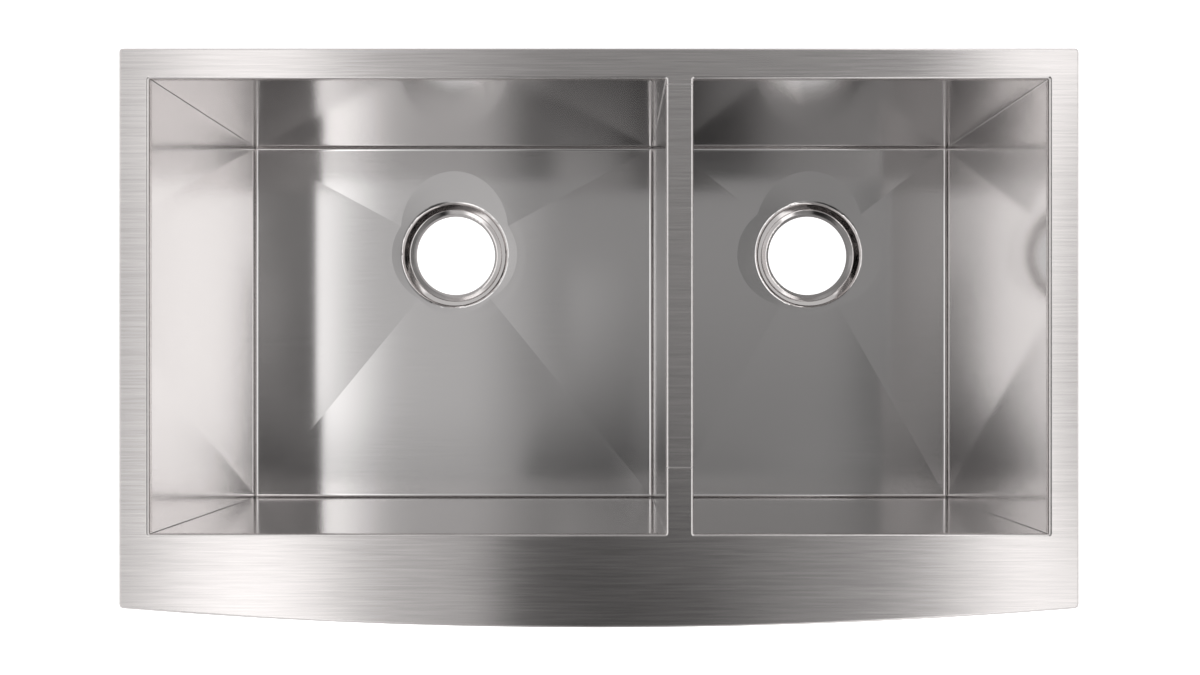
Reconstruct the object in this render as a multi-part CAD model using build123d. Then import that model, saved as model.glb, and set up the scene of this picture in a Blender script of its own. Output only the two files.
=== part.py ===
from build123d import *
import math
import os

# A double-bowl sink with a bowed apron front, welded from folded stainless sheet.
# Millimetres, +Z up, +X to the right, the apron faces -Y. The origin is the middle of
# the footprint, on the level that the apron's lower edge and the drain ledges stand on.

# ---------------------------------------------------------------- driving dimensions

DECK_SHEET = 1.5
BOWL_SHEET = 1.2
APRON_SHEET = 1.5
BRACKET_SHEET = 1.5

SIDE_DECK = 26.5
BACK_DECK = 27.0
FRONT_DECK = 82.0
FRONT_BOW = 17.0
LARGE_BOWL_WIDTH = 451.0
SMALL_BOWL_WIDTH = 310.0
DIVIDER_WIDTH = 24.0
BOWL_LENGTH = 397.0
BOWL_DEPTH = 240.0
FLOOR_EDGE = 14.0
FLOOR_FALL = 4.0
BOWL_BEND = 4.0

EDGE_BEND_INSIDE = 0.8
OPENING_BEND_INSIDE = 0.8
RIM_TURN = 6.0
BACK_CORNER_EASE = 1.0
FRONT_CORNER = 4.0
COLLAR_CORNER = 0.8
SMALLEST_CORNER = 0.4

BRIDGE_BACK_STUB = 5.0
BRIDGE_FRONT_STUB = 58.0

DRAIN_RADIUS = 45.0
DRAIN_FROM_BACK_WALL = 121.0
LEDGE_LAND = 2.5
LEDGE_WIDTH = 5.2
LEDGE_RISE = 1.4
LEDGE_BEND = 2.0
LEDGE_EASE = 8.0
RECESS_WALL_RUN = 6.7
RECESS_ROLL = 6.0
RECESS_ABOVE_VALLEY = 0.3
DISH_WIDTH = 50.0

APRON_RETURN = 18.0
CHEEK_LENGTH = 58.0
BRACE_FLANGE = 16.0
BRACE_FROM_END = 107.0
BRACE_FROM_DIVIDER = 58.5
BRACE_BOTTOM = 30.0
BRACE_TOP_GAP = 10.0
WELD_GAP = 0.1

STIFFENER_MARGIN = 40.0
STIFFENER_CROWN = 22.0
STIFFENER_HEIGHT = 12.0
STIFFENER_FOOT = 9.0
STIFFENER_FROM_OPENING = 10.0

TIE_MARGIN = 80.0
TIE_LEG = 20.0
TIE_BOTTOM = 40.0

SEAL_THICKNESS = 5.5
SEAL_FROM_LIP = 1.7
SEAL_FROM_RAIL = 0.3

RAIL_WIDTH = 13.0
RAIL_HEIGHT = 9.0
RAIL_SHEET = 1.2
RAIL_FROM_BEND = 0.9
SIDE_RAIL_MARGIN = 19.0
BACK_RAIL_MARGIN = 112.5

BOLT_RADIUS = 3.175
BOLT_LENGTH = 66.0
BOLT_HEAD_THICKNESS = 2.5
BOLT_POINT = 1.0
SLIDE_CLEARANCE = 0.3
TURN_CLEARANCE = 0.1
NUT_ACROSS_FLATS = 11.1
NUT_THICKNESS = 5.5
NUT_CHAMFER = 0.8
NUT_ABOVE_POINT = 4.0
WASHER_RADIUS = 6.3
WASHER_THICKNESS = 1.5
CLAW_HALF_WIDTH = 6.3
CLAW_REACH = 34.0
CLAW_SHEET = 2.0
CLAW_TIP_HEIGHT = 9.0
CLAW_FLANGE_HEIGHT = 5.0
CLAW_FLANGE_START = 9.0
CLAW_TOOTH = 1.6
CLAW_TOOTH_COUNT = 4
SIDE_CLIP_INSET = 20.0
BACK_CLIP_INSET = 30.0

PAD_THICKNESS = 3.0
PAD_CORNER = 6.0
WALL_PAD_BOTTOM = 42.0
WALL_PAD_BELOW_BOLT = 17.0
WALL_PAD_MARGIN = 60.0
FLOOR_PAD_MARGIN = 26.0
FLOOR_PAD_FROM_DRAIN = 85.0
APRON_PAD_BOTTOM = 48.0
APRON_PAD_TOP_GAP = 50.0
APRON_PAD_MARGIN = 14.0

OVERCUT = 2.0

# ---------------------------------------------------------------- derived places

OVERALL_WIDTH = 2 * SIDE_DECK + LARGE_BOWL_WIDTH + DIVIDER_WIDTH + SMALL_BOWL_WIDTH
OVERALL_DEPTH = BACK_DECK + BOWL_LENGTH + FRONT_DECK
OVERALL_HEIGHT = FLOOR_EDGE + BOWL_DEPTH
DECK_UNDERSIDE = OVERALL_HEIGHT - DECK_SHEET
RIM_BOTTOM = OVERALL_HEIGHT - RIM_TURN
EDGE_BEND = EDGE_BEND_INSIDE + DECK_SHEET
OPENING_BEND = OPENING_BEND_INSIDE + DECK_SHEET
BACK_CORNER = EDGE_BEND + BACK_CORNER_EASE

FRONT_RADIUS = ((OVERALL_WIDTH / 2) ** 2 + FRONT_BOW**2) / (2 * FRONT_BOW)
FRONT_CENTRE_Y = FRONT_RADIUS - OVERALL_DEPTH / 2
FRONT_CORNER_Y = FRONT_BOW - OVERALL_DEPTH / 2
CHEEK_BACK = FRONT_CORNER_Y + CHEEK_LENGTH

OPENING_BACK = OVERALL_DEPTH / 2 - BACK_DECK
OPENING_FRONT = OPENING_BACK - BOWL_LENGTH
OPENING_MIDDLE = (OPENING_FRONT + OPENING_BACK) / 2
LARGE_LEFT = SIDE_DECK - OVERALL_WIDTH / 2
LARGE_RIGHT = LARGE_LEFT + LARGE_BOWL_WIDTH
SMALL_LEFT = LARGE_RIGHT + DIVIDER_WIDTH
SMALL_RIGHT = SMALL_LEFT + SMALL_BOWL_WIDTH
BOWLS = {
    "large_bowl": (LARGE_LEFT, LARGE_RIGHT),
    "small_bowl": (SMALL_LEFT, SMALL_RIGHT),
}

DRAIN_Y = OPENING_BACK - DRAIN_FROM_BACK_WALL
LEDGE_OUTER_RADIUS = DRAIN_RADIUS + LEDGE_LAND + LEDGE_WIDTH
RECESS_RADIUS = LEDGE_OUTER_RADIUS + RECESS_WALL_RUN

FRONT_WALL_OUTSIDE = OPENING_FRONT - BOWL_SHEET
BACK_WALL_OUTSIDE = OPENING_BACK + BOWL_SHEET
LEFT_WALL_OUTSIDE = LARGE_LEFT - BOWL_SHEET
RIGHT_WALL_OUTSIDE = SMALL_RIGHT + BOWL_SHEET

STIFFENER_BOTTOM = DECK_UNDERSIDE - STIFFENER_HEIGHT
BRACE_TOP = STIFFENER_BOTTOM - BRACE_TOP_GAP
BRACE_X = {
    "left": LARGE_LEFT + BRACE_FROM_END,
    "middle": LARGE_RIGHT - BRACE_FROM_DIVIDER,
    "right": SMALL_RIGHT - BRACE_FROM_END,
}

RAIL_AXIS = OPENING_BEND + RAIL_FROM_BEND + RAIL_WIDTH / 2
RAIL_INSIDE = RAIL_WIDTH - 2 * RAIL_SHEET
RAIL_SLOT = 2 * (BOLT_RADIUS + SLIDE_CLEARANCE)
RAIL_BOTTOM = DECK_UNDERSIDE - RAIL_HEIGHT
RAIL_LIP_TOP = RAIL_BOTTOM + RAIL_SHEET
RAIL_OUTSIDE = RAIL_AXIS + RAIL_WIDTH / 2
SIDE_RAIL_LENGTH = BOWL_LENGTH - 2 * SIDE_RAIL_MARGIN
BACK_RAIL_LENGTH = SMALL_RIGHT - LARGE_LEFT - 2 * BACK_RAIL_MARGIN
SEAL_OUTSIDE = DECK_SHEET + SEAL_FROM_LIP
SEAL_INSIDE = min(SIDE_DECK, BACK_DECK) - RAIL_OUTSIDE - SEAL_FROM_RAIL

BOLT_HEAD_BOTTOM = RAIL_LIP_TOP + SLIDE_CLEARANCE
BOLT_TIP = BOLT_HEAD_BOTTOM - BOLT_LENGTH
NUT_BOTTOM = BOLT_TIP + NUT_ABOVE_POINT
WASHER_BOTTOM = NUT_BOTTOM + NUT_THICKNESS + SLIDE_CLEARANCE
CLAW_BOTTOM = WASHER_BOTTOM + WASHER_THICKNESS + SLIDE_CLEARANCE
WALL_PAD_TOP = BOLT_TIP - WALL_PAD_BELOW_BOLT


# ---------------------------------------------------------------- shared shapes

def block(low, high):
    """Solid box between two opposite corners."""
    size = [b - a for a, b in zip(low, high)]
    middle = [(a + b) / 2 for a, b in zip(low, high)]
    return Pos(*middle) * Box(*size)


def slab(sketch, bottom, top):
    """Plan sketch stood up between two heights."""
    return extrude(Pos(0, 0, bottom) * sketch, top - bottom)


def cylinder(radius, bottom, top):
    """Upright cylinder on the Z axis between two heights."""
    return slab(Circle(radius), bottom, top)


def rim_plan(inset=0.0):
    """Plan of the rim, drawn in by inset: three straight sides and the bowed front."""
    half_width = OVERALL_WIDTH / 2 - inset
    back = OVERALL_DEPTH / 2 - inset
    radius = FRONT_RADIUS - inset
    corner_y = FRONT_CENTRE_Y - math.sqrt(radius**2 - half_width**2)
    middle_y = FRONT_CENTRE_Y - radius
    left_end = (-half_width, corner_y)
    right_end = (half_width, corner_y)
    sides = Polyline(left_end, (-half_width, back), (half_width, back), right_end)
    front = ThreePointArc(right_end, (0, middle_y), left_end)
    plan = make_face([*sides.edges(), front])
    corners = plan.vertices().sort_by(Axis.Y)
    plan = fillet(corners[2:], max(BACK_CORNER - inset, SMALLEST_CORNER))
    corners = plan.vertices().sort_by(Axis.Y)
    return fillet(corners[:2], max(FRONT_CORNER - inset, SMALLEST_CORNER))


def opening_plan(left, right, grow=0.0):
    """Plan of one bowl opening, grown on every side."""
    width = right - left + 2 * grow
    length = BOWL_LENGTH + 2 * grow
    middle = Pos((left + right) / 2, OPENING_MIDDLE)
    return middle * RectangleRounded(width, length, COLLAR_CORNER + grow)


def trough_section(low, high, valley, grow, top):
    """Section across a bowl: two upright walls, rounded bends and a floor that falls to the valley."""
    floor = FLOOR_EDGE - grow
    points = [
        (low - grow, top),
        (low - grow, floor),
        (valley, floor - FLOOR_FALL),
        (high + grow, floor),
        (high + grow, top),
    ]
    section = make_face(Polyline(*points, close=True))
    bends = [v for v in section.vertices() if abs(v.Y - floor) < 0.01]
    return fillet(bends, BOWL_BEND + grow)


def bowl_block(left, right, grow, top):
    """Inside (grow 0) or outside of a bowl: two crossed troughs, mitred at the corners."""
    drain_x = (left + right) / 2
    across = trough_section(left, right, drain_x, grow, top)
    along = trough_section(OPENING_FRONT, OPENING_BACK, DRAIN_Y, grow, top)
    across_trough = extrude(Plane.XZ * across, OVERALL_DEPTH, both=True)
    along_trough = extrude(Plane.YZ * along, OVERALL_WIDTH, both=True)
    return across_trough & along_trough


# ---------------------------------------------------------------- deck and divider

def deck_sheet():
    """Deck with its rolled outer edge and a rolled collar round each opening."""
    deck = slab(rim_plan(), RIM_BOTTOM, OVERALL_HEIGHT)
    deck = fillet(deck.faces().sort_by(Axis.Z)[-1].edges(), EDGE_BEND)
    hollow = slab(rim_plan(DECK_SHEET), RIM_BOTTOM - OVERCUT, DECK_UNDERSIDE)
    for left, right in BOWLS.values():
        deck -= slab(opening_plan(left, right), RIM_BOTTOM - OVERCUT, OVERALL_HEIGHT + OVERCUT)
        hollow -= slab(opening_plan(left, right, DECK_SHEET), RIM_BOTTOM - OVERCUT, DECK_UNDERSIDE)
    top_face = deck.faces().sort_by(Axis.Z)[-1]
    opening_edges = [edge for wire in top_face.inner_wires() for edge in wire.edges()]
    deck = fillet(opening_edges, OPENING_BEND)
    hollow = fillet(hollow.faces().sort_by(Axis.Z)[-1].edges(), EDGE_BEND_INSIDE)
    return deck - hollow


def bridge_zone():
    """Space between the two weld seams that part the divider's cap from the deck."""
    low = (LARGE_RIGHT - OVERCUT / 2, OPENING_FRONT + BRIDGE_FRONT_STUB, RIM_BOTTOM - OVERCUT)
    high = (SMALL_LEFT + OVERCUT / 2, OPENING_BACK - BRIDGE_BACK_STUB, OVERALL_HEIGHT + OVERCUT)
    return block(low, high)


def divider_tie_channel():
    """Folded channel between the two bowls that ties their facing walls together."""
    left = LARGE_RIGHT + BOWL_SHEET
    right = SMALL_LEFT - BOWL_SHEET
    front = OPENING_FRONT + TIE_MARGIN
    back = OPENING_BACK - TIE_MARGIN
    top = TIE_BOTTOM + TIE_LEG
    channel = block((left, front, TIE_BOTTOM), (right, back, top))
    inside_low = (left + BRACKET_SHEET, front - OVERCUT, TIE_BOTTOM + BRACKET_SHEET)
    inside_high = (right - BRACKET_SHEET, back + OVERCUT, top + OVERCUT)
    return channel - block(inside_low, inside_high)


# ---------------------------------------------------------------- bowls

def recess_line():
    """Wet side of the drain recess from the hole outwards: land, ledge, steep wall, roll and dish."""
    recess_top = FLOOR_EDGE - FLOOR_FALL + RECESS_ABOVE_VALLEY
    points = [
        (DRAIN_RADIUS - OVERCUT, BOWL_SHEET),
        (DRAIN_RADIUS + LEDGE_LAND, BOWL_SHEET),
        (LEDGE_OUTER_RADIUS, BOWL_SHEET + LEDGE_RISE),
        (RECESS_RADIUS, recess_top),
        (RECESS_RADIUS + DISH_WIDTH, recess_top + FLOOR_FALL),
    ]
    return FilletPolyline(*points, radius=[LEDGE_EASE, LEDGE_BEND, RECESS_ROLL])


def recess_solids():
    """Metal of the drain recess and the air above it, both round the Z axis."""
    wet = recess_line()
    metal = make_face(offset(wet, BOWL_SHEET, side=Side.RIGHT).edges())
    start = wet @ 0
    end = wet @ 1
    air_top = end.Y + OVERCUT
    cap = Polyline(end, (end.X, air_top), (0, air_top), (0, start.Y), start)
    air = make_face([*wet.edges(), *cap.edges()])
    metal_ring = revolve(Plane.XZ * metal, Axis.Z)
    air_cone = revolve(Plane.XZ * air, Axis.Z)
    return metal_ring, air_cone


def bowl(left, right):
    """One folded bowl: upright walls, a floor of four falling facets and a pressed drain recess."""
    place = Pos((left + right) / 2, DRAIN_Y, 0)
    ring, air = recess_solids()
    shell = bowl_block(left, right, BOWL_SHEET, RIM_BOTTOM) + place * ring
    shell -= bowl_block(left, right, 0.0, OVERALL_HEIGHT)
    shell -= place * air
    return shell - place * cylinder(DRAIN_RADIUS, -OVERCUT, OVERALL_HEIGHT / 2)


# ---------------------------------------------------------------- apron

def apron_panel():
    """Bowed front with its side cheeks and the lower edge folded inwards."""
    panel = slab(rim_plan(), 0, RIM_BOTTOM)
    panel = fillet(panel.faces().sort_by(Axis.Z)[0].edges(), EDGE_BEND_INSIDE + APRON_SHEET)
    hollow = slab(rim_plan(APRON_SHEET), APRON_SHEET, RIM_BOTTOM + OVERCUT)
    hollow = fillet(hollow.faces().sort_by(Axis.Z)[0].edges(), EDGE_BEND_INSIDE)
    behind_low = (-OVERALL_WIDTH, CHEEK_BACK, -OVERCUT)
    behind_high = (OVERALL_WIDTH, OVERALL_DEPTH, OVERALL_HEIGHT)
    panel -= hollow
    panel -= slab(rim_plan(APRON_RETURN), -OVERCUT, APRON_SHEET + OVERCUT)
    return panel - block(behind_low, behind_high)


def apron_layer(thickness, low, high):
    """Curved layer just behind the apron's inner face, between two corners of a box."""
    outside = APRON_SHEET + WELD_GAP
    layer = rim_plan(outside) - rim_plan(outside + thickness)
    return slab(layer, low[2], high[2]) & block(low, high)


def apron_brace(x):
    """Folded plate with two flanges that ties the bowls' front wall to the apron."""
    flange_right = x + BRACE_FLANGE
    front = -OVERALL_DEPTH
    web = slab(rim_plan(APRON_SHEET + WELD_GAP), BRACE_BOTTOM, BRACE_TOP)
    web &= block((x, front, BRACE_BOTTOM), (x + BRACKET_SHEET, FRONT_WALL_OUTSIDE, BRACE_TOP))
    wall_low = (x, FRONT_WALL_OUTSIDE - BRACKET_SHEET, BRACE_BOTTOM)
    wall_high = (flange_right, FRONT_WALL_OUTSIDE, BRACE_TOP)
    front_flange = apron_layer(BRACKET_SHEET, (x, front, BRACE_BOTTOM), wall_high)
    return web + block(wall_low, wall_high) + front_flange


def apron_sound_pads():
    """Rubber sheets glued to the apron's inner face, one in each bay between the braces."""
    starts = [LARGE_LEFT, *(x + BRACE_FLANGE for x in BRACE_X.values())]
    stops = [*BRACE_X.values(), SMALL_RIGHT]
    solids = []
    for start, stop in zip(starts, stops):
        low = (start + APRON_PAD_MARGIN, -OVERALL_DEPTH, APRON_PAD_BOTTOM)
        high = (stop - APRON_PAD_MARGIN, FRONT_WALL_OUTSIDE, RIM_BOTTOM - APRON_PAD_TOP_GAP)
        solids.extend(apron_layer(PAD_THICKNESS, low, high).solids())
    return Compound(solids)


def front_deck_stiffener():
    """Hat channel under the wide front of the deck."""
    back = OPENING_FRONT - STIFFENER_FROM_OPENING
    half = OVERALL_WIDTH / 2 - STIFFENER_MARGIN
    crown_back = back - STIFFENER_FOOT
    crown_front = crown_back - STIFFENER_CROWN
    front = crown_front - STIFFENER_FOOT
    foot_bottom = DECK_UNDERSIDE - BRACKET_SHEET
    hat = block((-half, front, foot_bottom), (half, back, DECK_UNDERSIDE))
    hat += block((-half, crown_front, STIFFENER_BOTTOM), (half, crown_back, DECK_UNDERSIDE))
    inside_low = (-half - OVERCUT, crown_front + BRACKET_SHEET, STIFFENER_BOTTOM + BRACKET_SHEET)
    inside_high = (half + OVERCUT, crown_back - BRACKET_SHEET, DECK_UNDERSIDE + OVERCUT)
    return hat - block(inside_low, inside_high)


# ---------------------------------------------------------------- seal and rails

def rim_seal():
    """Foam strip under the deck's overhang, left, behind and right, from cheek to cheek."""
    strip = rim_plan(SEAL_OUTSIDE) - rim_plan(SEAL_INSIDE)
    seal = slab(strip, DECK_UNDERSIDE - SEAL_THICKNESS, DECK_UNDERSIDE)
    front_low = (-OVERALL_WIDTH, -OVERALL_DEPTH, 0)
    front_high = (OVERALL_WIDTH, CHEEK_BACK + SEAL_FROM_LIP, OVERALL_HEIGHT)
    return seal - block(front_low, front_high)


def clip_rail(length):
    """Slotted channel along Y, its web under the deck and its slot facing down."""
    half = length / 2
    rail = block((-RAIL_WIDTH / 2, -half, RAIL_BOTTOM), (RAIL_WIDTH / 2, half, DECK_UNDERSIDE))
    inside_top = DECK_UNDERSIDE - RAIL_SHEET
    reach = half + OVERCUT
    rail -= block((-RAIL_INSIDE / 2, -reach, RAIL_LIP_TOP), (RAIL_INSIDE / 2, reach, inside_top))
    return rail - block((-RAIL_SLOT / 2, -reach, 0), (RAIL_SLOT / 2, reach, inside_top))


# ---------------------------------------------------------------- hold-down clips

def clip_bolt():
    """Square-headed bolt that hangs in a rail's slot."""
    side = RAIL_INSIDE - 2 * SLIDE_CLEARANCE
    shank = cylinder(BOLT_RADIUS, BOLT_TIP, BOLT_HEAD_BOTTOM + BOLT_HEAD_THICKNESS / 2)
    shank = chamfer(shank.faces().sort_by(Axis.Z)[0].edges(), BOLT_POINT)
    head_top = BOLT_HEAD_BOTTOM + BOLT_HEAD_THICKNESS
    return shank + slab(Rectangle(side, side), BOLT_HEAD_BOTTOM, head_top)


def clip_nut():
    """Hexagon nut on the bolt's lower end."""
    top = NUT_BOTTOM + NUT_THICKNESS
    half_flats = NUT_ACROSS_FLATS / 2
    hexagon = RegularPolygon(half_flats, 6, major_radius=False)
    round_blank = cylinder(half_flats / math.cos(math.pi / 6), NUT_BOTTOM, top)
    nut = slab(hexagon, NUT_BOTTOM, top) & chamfer(round_blank.edges(), NUT_CHAMFER)
    return nut - cylinder(BOLT_RADIUS + TURN_CLEARANCE, NUT_BOTTOM - OVERCUT, WASHER_BOTTOM)


def clip_washer():
    """Flat washer between the nut and the claw."""
    washer = cylinder(WASHER_RADIUS, WASHER_BOTTOM, WASHER_BOTTOM + WASHER_THICKNESS)
    return washer - cylinder(BOLT_RADIUS + SLIDE_CLEARANCE, NUT_BOTTOM, CLAW_BOTTOM)


def clip_claw():
    """Folded claw along +Y: a round end about the bolt, two side flanges and a toothed tip."""
    base_top = CLAW_BOTTOM + CLAW_SHEET
    arm = Pos(0, CLAW_REACH / 2) * Rectangle(2 * CLAW_HALF_WIDTH, CLAW_REACH)
    plan = Circle(CLAW_HALF_WIDTH) + arm
    claw = slab(plan, CLAW_BOTTOM, base_top)
    for side in (-1, 1):
        inner = side * (CLAW_HALF_WIDTH - CLAW_SHEET)
        outer = side * CLAW_HALF_WIDTH
        low = (min(inner, outer), CLAW_FLANGE_START, CLAW_BOTTOM)
        high = (max(inner, outer), CLAW_REACH, CLAW_BOTTOM + CLAW_FLANGE_HEIGHT)
        claw += block(low, high)
    tip_low = (-CLAW_HALF_WIDTH, CLAW_REACH - CLAW_SHEET, CLAW_BOTTOM)
    tip_high = (CLAW_HALF_WIDTH, CLAW_REACH, CLAW_BOTTOM + CLAW_TIP_HEIGHT)
    claw += block(tip_low, tip_high)
    pitch = 2 * CLAW_HALF_WIDTH / CLAW_TOOTH_COUNT
    for index in range(1, CLAW_TOOTH_COUNT):
        notch = Rot(0, 45, 0) * Box(CLAW_TOOTH, 2 * CLAW_SHEET, CLAW_TOOTH)
        across = index * pitch - CLAW_HALF_WIDTH
        claw -= Pos(across, CLAW_REACH - CLAW_SHEET / 2, CLAW_BOTTOM + CLAW_TIP_HEIGHT) * notch
    return claw - cylinder(BOLT_RADIUS + SLIDE_CLEARANCE, WASHER_BOTTOM, base_top + OVERCUT)


def clip_places():
    """Place and heading of every clip: its claw lies along its rail, towards the rail's middle."""
    left_x = LARGE_LEFT - RAIL_AXIS
    right_x = SMALL_RIGHT + RAIL_AXIS
    back_y = OPENING_BACK + RAIL_AXIS
    side_front = OPENING_FRONT + SIDE_RAIL_MARGIN + SIDE_CLIP_INSET
    side_back = OPENING_BACK - SIDE_RAIL_MARGIN - SIDE_CLIP_INSET
    back_end = BACK_RAIL_LENGTH / 2 - BACK_CLIP_INSET
    return {
        "left_front": Pos(left_x, side_front, 0),
        "left_back": Pos(left_x, side_back, 0) * Rot(0, 0, 180),
        "back_left": Pos(-back_end, back_y, 0) * Rot(0, 0, -90),
        "back_right": Pos(back_end, back_y, 0) * Rot(0, 0, 90),
        "right_front": Pos(right_x, side_front, 0),
        "right_back": Pos(right_x, side_back, 0) * Rot(0, 0, 180),
    }


# ---------------------------------------------------------------- sound pads on the bowls

def floor_pad(left, right):
    """Rubber sheet under a bowl's floor, in front of its drain."""
    front = OPENING_FRONT + FLOOR_PAD_MARGIN
    back = DRAIN_Y - FLOOR_PAD_FROM_DRAIN
    width = right - left - 2 * FLOOR_PAD_MARGIN
    outline = RectangleRounded(width, back - front, PAD_CORNER)
    plan = Pos((left + right) / 2, (front + back) / 2) * outline
    pad = slab(plan, 0, FLOOR_EDGE)
    pad &= bowl_block(left, right, BOWL_SHEET + PAD_THICKNESS, OVERALL_HEIGHT)
    return pad - bowl_block(left, right, BOWL_SHEET, OVERALL_HEIGHT)


def wall_pad(width):
    """Upright rubber sheet, its glued face on Y = 0 and its thickness towards -Y."""
    outline = RectangleRounded(width, WALL_PAD_TOP - WALL_PAD_BOTTOM, PAD_CORNER)
    plate = extrude(Plane.XZ * outline, PAD_THICKNESS)
    return Pos(0, 0, (WALL_PAD_TOP + WALL_PAD_BOTTOM) / 2) * plate


def bowl_pads():
    """Every sound pad on the outside of the bowls."""
    large_middle = (LARGE_LEFT + LARGE_RIGHT) / 2
    small_middle = (SMALL_LEFT + SMALL_RIGHT) / 2
    left_place = Pos(LEFT_WALL_OUTSIDE, OPENING_MIDDLE, 0) * Rot(0, 0, -90)
    right_place = Pos(RIGHT_WALL_OUTSIDE, OPENING_MIDDLE, 0) * Rot(0, 0, 90)
    large_back_place = Pos(large_middle, BACK_WALL_OUTSIDE, 0) * Rot(0, 0, 180)
    small_back_place = Pos(small_middle, BACK_WALL_OUTSIDE, 0) * Rot(0, 0, 180)
    side_pad = wall_pad(BOWL_LENGTH - 2 * WALL_PAD_MARGIN)
    return {
        "large_bowl_floor_pad": floor_pad(LARGE_LEFT, LARGE_RIGHT),
        "large_bowl_left_pad": left_place * side_pad,
        "large_bowl_back_pad": large_back_place * wall_pad(LARGE_BOWL_WIDTH - 2 * WALL_PAD_MARGIN),
        "small_bowl_floor_pad": floor_pad(SMALL_LEFT, SMALL_RIGHT),
        "small_bowl_right_pad": right_place * side_pad,
        "small_bowl_back_pad": small_back_place * wall_pad(SMALL_BOWL_WIDTH - 2 * WALL_PAD_MARGIN),
    }


# ---------------------------------------------------------------- assembly

def build_parts():
    """Every piece of the sink by name, in its place."""
    deck = deck_sheet()
    parts = {
        "deck_frame": deck - bridge_zone(),
        "divider_bridge": deck & bridge_zone(),
        "divider_tie_channel": divider_tie_channel(),
        "apron_panel": apron_panel(),
        "front_deck_stiffener": front_deck_stiffener(),
        "apron_sound_pads": apron_sound_pads(),
        "rim_seal": rim_seal(),
    }
    for name, (left, right) in BOWLS.items():
        parts[name] = bowl(left, right)
    for name, x in BRACE_X.items():
        parts[f"apron_brace_{name}"] = apron_brace(x)
    side_rail = clip_rail(SIDE_RAIL_LENGTH)
    parts["clip_rail_left"] = Pos(LARGE_LEFT - RAIL_AXIS, OPENING_MIDDLE, 0) * side_rail
    parts["clip_rail_right"] = Pos(SMALL_RIGHT + RAIL_AXIS, OPENING_MIDDLE, 0) * side_rail
    back_rail = Rot(0, 0, 90) * clip_rail(BACK_RAIL_LENGTH)
    parts["clip_rail_back"] = Pos((LARGE_LEFT + SMALL_RIGHT) / 2, OPENING_BACK + RAIL_AXIS, 0) * back_rail
    parts.update(bowl_pads())
    clip_pieces = {"bolt": clip_bolt(), "nut": clip_nut(), "washer": clip_washer(), "claw": clip_claw()}
    for place_name, place in clip_places().items():
        for piece_name, piece in clip_pieces.items():
            parts[f"clip_{piece_name}_{place_name}"] = place * piece
    return parts


os.makedirs("parts", exist_ok=True)
for part_name, shape in build_parts().items():
    export_step(shape, f"parts/{part_name}.step")
    print(part_name, len(shape.solids()), round(shape.volume))
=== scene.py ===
import logging
import math
from collections.abc import Callable, Iterator, Sequence
from contextlib import contextmanager
from dataclasses import dataclass
from enum import Enum
from functools import cached_property
from typing import Any

import bmesh
import bpy
from mathutils import Matrix, Vector


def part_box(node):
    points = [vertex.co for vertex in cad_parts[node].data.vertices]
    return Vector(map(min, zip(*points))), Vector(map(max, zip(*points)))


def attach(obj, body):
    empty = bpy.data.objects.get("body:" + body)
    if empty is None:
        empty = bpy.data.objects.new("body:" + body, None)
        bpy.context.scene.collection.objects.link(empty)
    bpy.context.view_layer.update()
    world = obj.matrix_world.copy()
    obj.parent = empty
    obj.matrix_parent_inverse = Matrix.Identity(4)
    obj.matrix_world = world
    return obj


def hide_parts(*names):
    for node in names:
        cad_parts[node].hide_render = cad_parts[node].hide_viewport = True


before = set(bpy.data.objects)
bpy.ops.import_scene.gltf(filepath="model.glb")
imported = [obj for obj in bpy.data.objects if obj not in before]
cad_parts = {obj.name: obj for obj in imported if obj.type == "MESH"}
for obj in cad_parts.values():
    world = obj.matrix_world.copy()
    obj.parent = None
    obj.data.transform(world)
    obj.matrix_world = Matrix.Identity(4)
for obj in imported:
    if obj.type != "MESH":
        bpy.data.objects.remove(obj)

# Looks of a double-bowl sink of folded stainless sheet with a bowed apron front.
# Metres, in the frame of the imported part: +Z up, +X to the right, the apron faces -Y.

Socket = bpy.types.NodeSocket
Material = bpy.types.Material
Piece = bpy.types.Object
Input = float | Sequence[float] | Socket
Place = Sequence[float]
Span = tuple[float, float]
Colour = tuple[float, float, float]

ALIGNED = 0.9  # A direction follows an axis when this much of its unit vector lies along it.
TOUCHING = 1e-5  # Places nearer to each other than this count as one.
MERGED = 1e-6  # Vertices nearer to each other than this are made one.
DRAINS = {"large_bowl": (-0.167, 0.105), "small_bowl": (0.2375, 0.105)}  # Middle of each drain.
LARGE_RIPPLE = 0.00004  # Height of the faint step pressed round the large drain.

log = logging.getLogger("sink")


class Pattern(Enum):
    """What the fine grain of a finish is made of."""

    NOISE = "noise"
    CELLS = "cells"


class Facing(Enum):
    """Way that a flat piece looks from what it is fixed to."""

    LEFT = (-1.0, 0.0, 0.0)
    RIGHT = (1.0, 0.0, 0.0)
    FRONT = (0.0, -1.0, 0.0)
    BACK = (0.0, 1.0, 0.0)
    DOWN = (0.0, 0.0, -1.0)


@dataclass(frozen=True)
class Fade:
    """Soft change from one level to another between two places."""

    low: float
    high: float
    start: Input = 0.0
    stop: Input = 1.0


@dataclass(frozen=True)
class Band:
    """Stretch between two places, with soft edges that reach as far inwards as outwards."""

    low: float
    high: float
    edge: float


# ------------------------ shader wiring


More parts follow.
